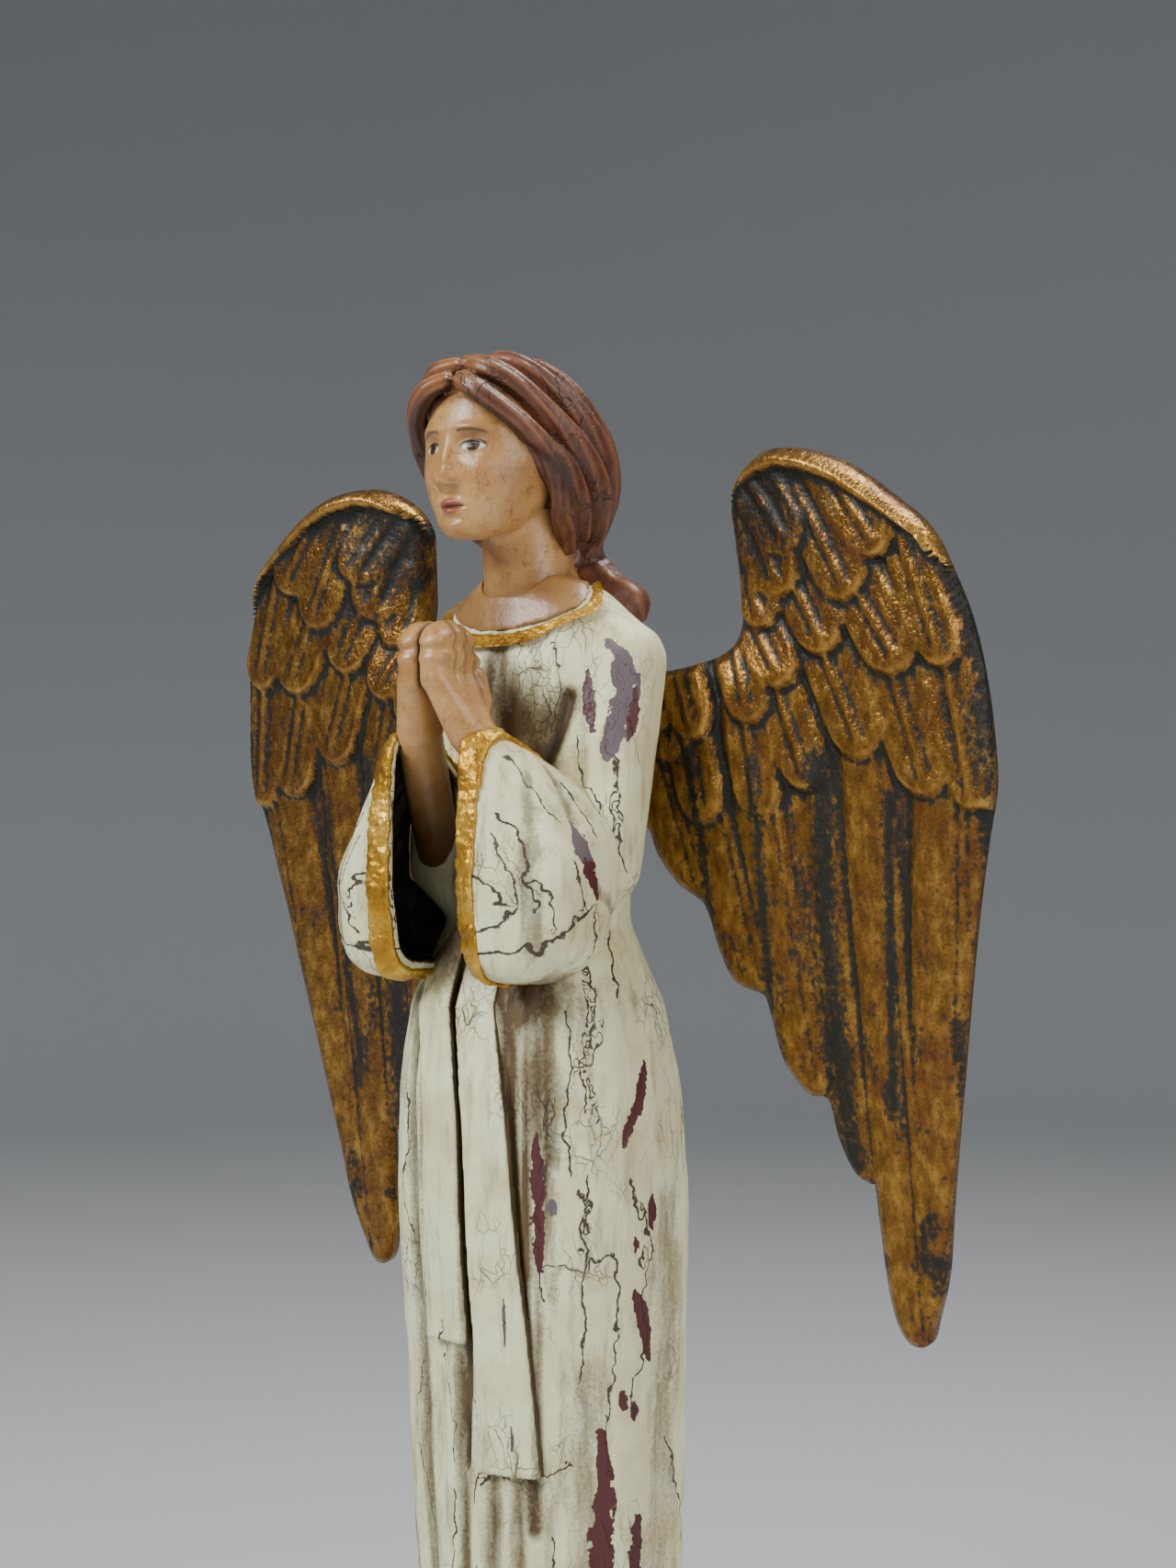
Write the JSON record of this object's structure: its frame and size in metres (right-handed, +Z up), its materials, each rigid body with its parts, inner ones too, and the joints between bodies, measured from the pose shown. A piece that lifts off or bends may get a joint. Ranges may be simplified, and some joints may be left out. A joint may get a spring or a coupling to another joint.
{
  "type": "praying angel statuette",
  "caption": "Slim robed angel statuette with hands joined in prayer, open bell sleeves, sash tails and two folded feathered wings, standing on a round felted plinth.",
  "frame": {"origin": "centre of the felt pad's underside, where the statuette stands", "axes": "+Z up, -Y the way the figure faces, +X the figure's left side"},
  "size_m": [0.1722, 0.068, 0.2978],
  "materials": {
    "cream_paint": "aged cream paint on cast resin, with crackle, umber wash and worn patches",
    "skin_paint": "varnished ochre skin paint on cast resin",
    "hair_paint": "satin red-brown paint on cast resin, darker in the grooves",
    "gold_leaf": "bright uneven gold leaf",
    "wing_bronze": "antique bronze and gold rubbed over black on cast resin",
    "plinth_paint": "dark brown satin paint on cast resin",
    "felt": "dark green wool felt",
    "steel": "zinc-plated steel"
  },
  "bodies": {
    "root": {"felt_pad": "felt", "plinth": "plinth_paint", "base_screw": "steel", "robe_body": "cream_paint", "neckline_band": "gold_leaf", "sash_tail_long": "cream_paint", "sash_tail_short": "cream_paint", "left_sleeve": "cream_paint", "right_sleeve": "cream_paint", "left_cuff_band": "gold_leaf", "right_cuff_band": "gold_leaf", "left_hand": "skin_paint", "right_hand": "skin_paint", "neck_dowel": "steel", "head": "skin_paint", "hair": "hair_paint", "left_wing": "wing_bronze", "right_wing": "wing_bronze", "left_wing_screws": "steel", "right_wing_screws": "steel"}
  },
  "joints": []
}
